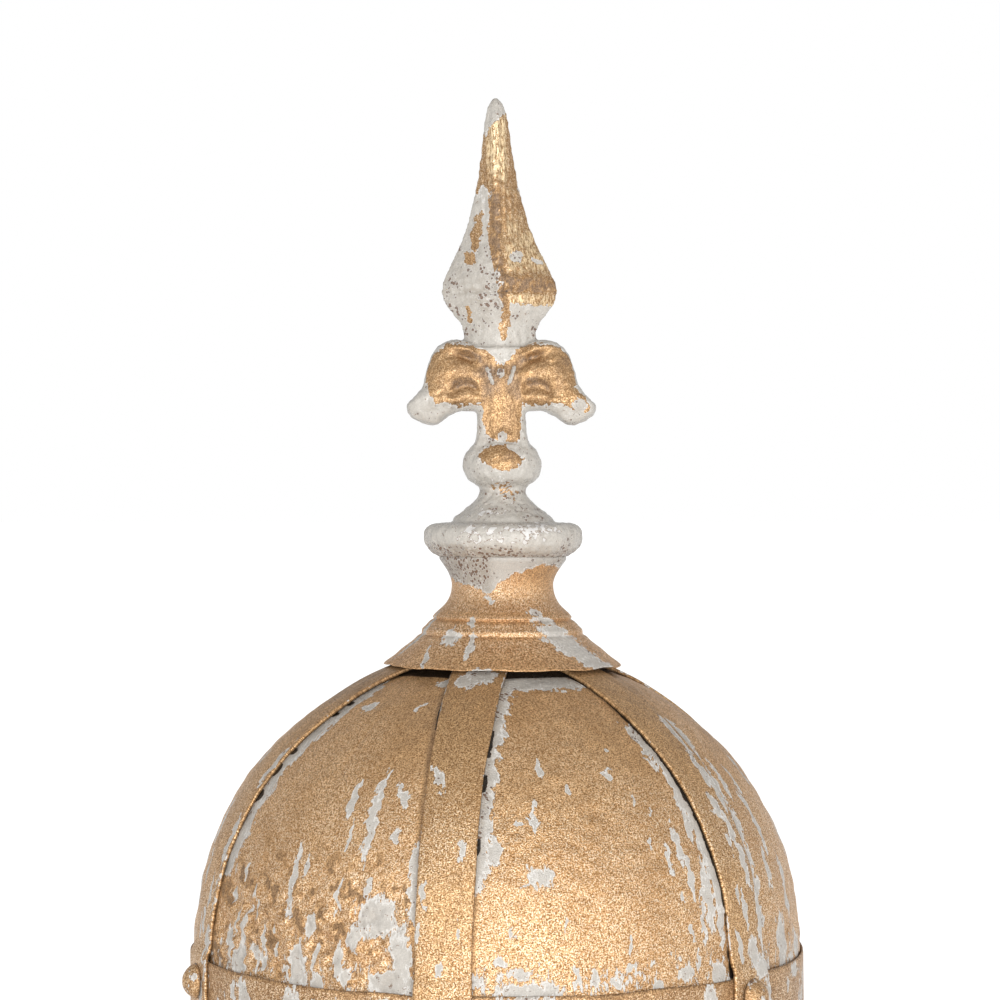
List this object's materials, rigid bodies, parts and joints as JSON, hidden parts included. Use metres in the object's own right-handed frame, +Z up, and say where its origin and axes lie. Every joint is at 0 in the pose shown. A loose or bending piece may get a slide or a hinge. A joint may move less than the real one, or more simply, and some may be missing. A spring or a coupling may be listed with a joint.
{
  "type": "roof finial",
  "caption": "Domed roof finial: sheet-iron gores under riveted straps in a base band, a spun crown cap, and a cast leaf-cross spear with collar and knob.",
  "frame": {"origin": "centre of the band's underside, on the dome's axis", "axes": "+Z up the dome's axis to the spear's tip, -Y the front, which the leaf cross faces, +X to the right"},
  "size_m": [0.305, 0.318, 0.458],
  "materials": {
    "gilt_band": "satin",
    "gilt_sheet": "satin",
    "gilt_strap": "satin",
    "gilt_rivet": "satin",
    "gilt_cap": "satin",
    "cast_finial": "satin"
  },
  "bodies": {
    "root": {"base_band": "gilt_band", "gore_1": "gilt_sheet", "gore_2": "gilt_sheet", "gore_3": "gilt_sheet", "gore_4": "gilt_sheet", "gore_5": "gilt_sheet", "gore_6": "gilt_sheet", "rib_1": "gilt_strap", "rib_2": "gilt_strap", "rib_3": "gilt_strap", "rib_4": "gilt_strap", "rib_5": "gilt_strap", "rib_6": "gilt_strap", "rivet_1": "gilt_rivet", "rivet_2": "gilt_rivet", "rivet_3": "gilt_rivet", "rivet_4": "gilt_rivet", "rivet_5": "gilt_rivet", "rivet_6": "gilt_rivet", "crown_cap": "gilt_cap", "spear_finial": "cast_finial"}
  },
  "joints": []
}
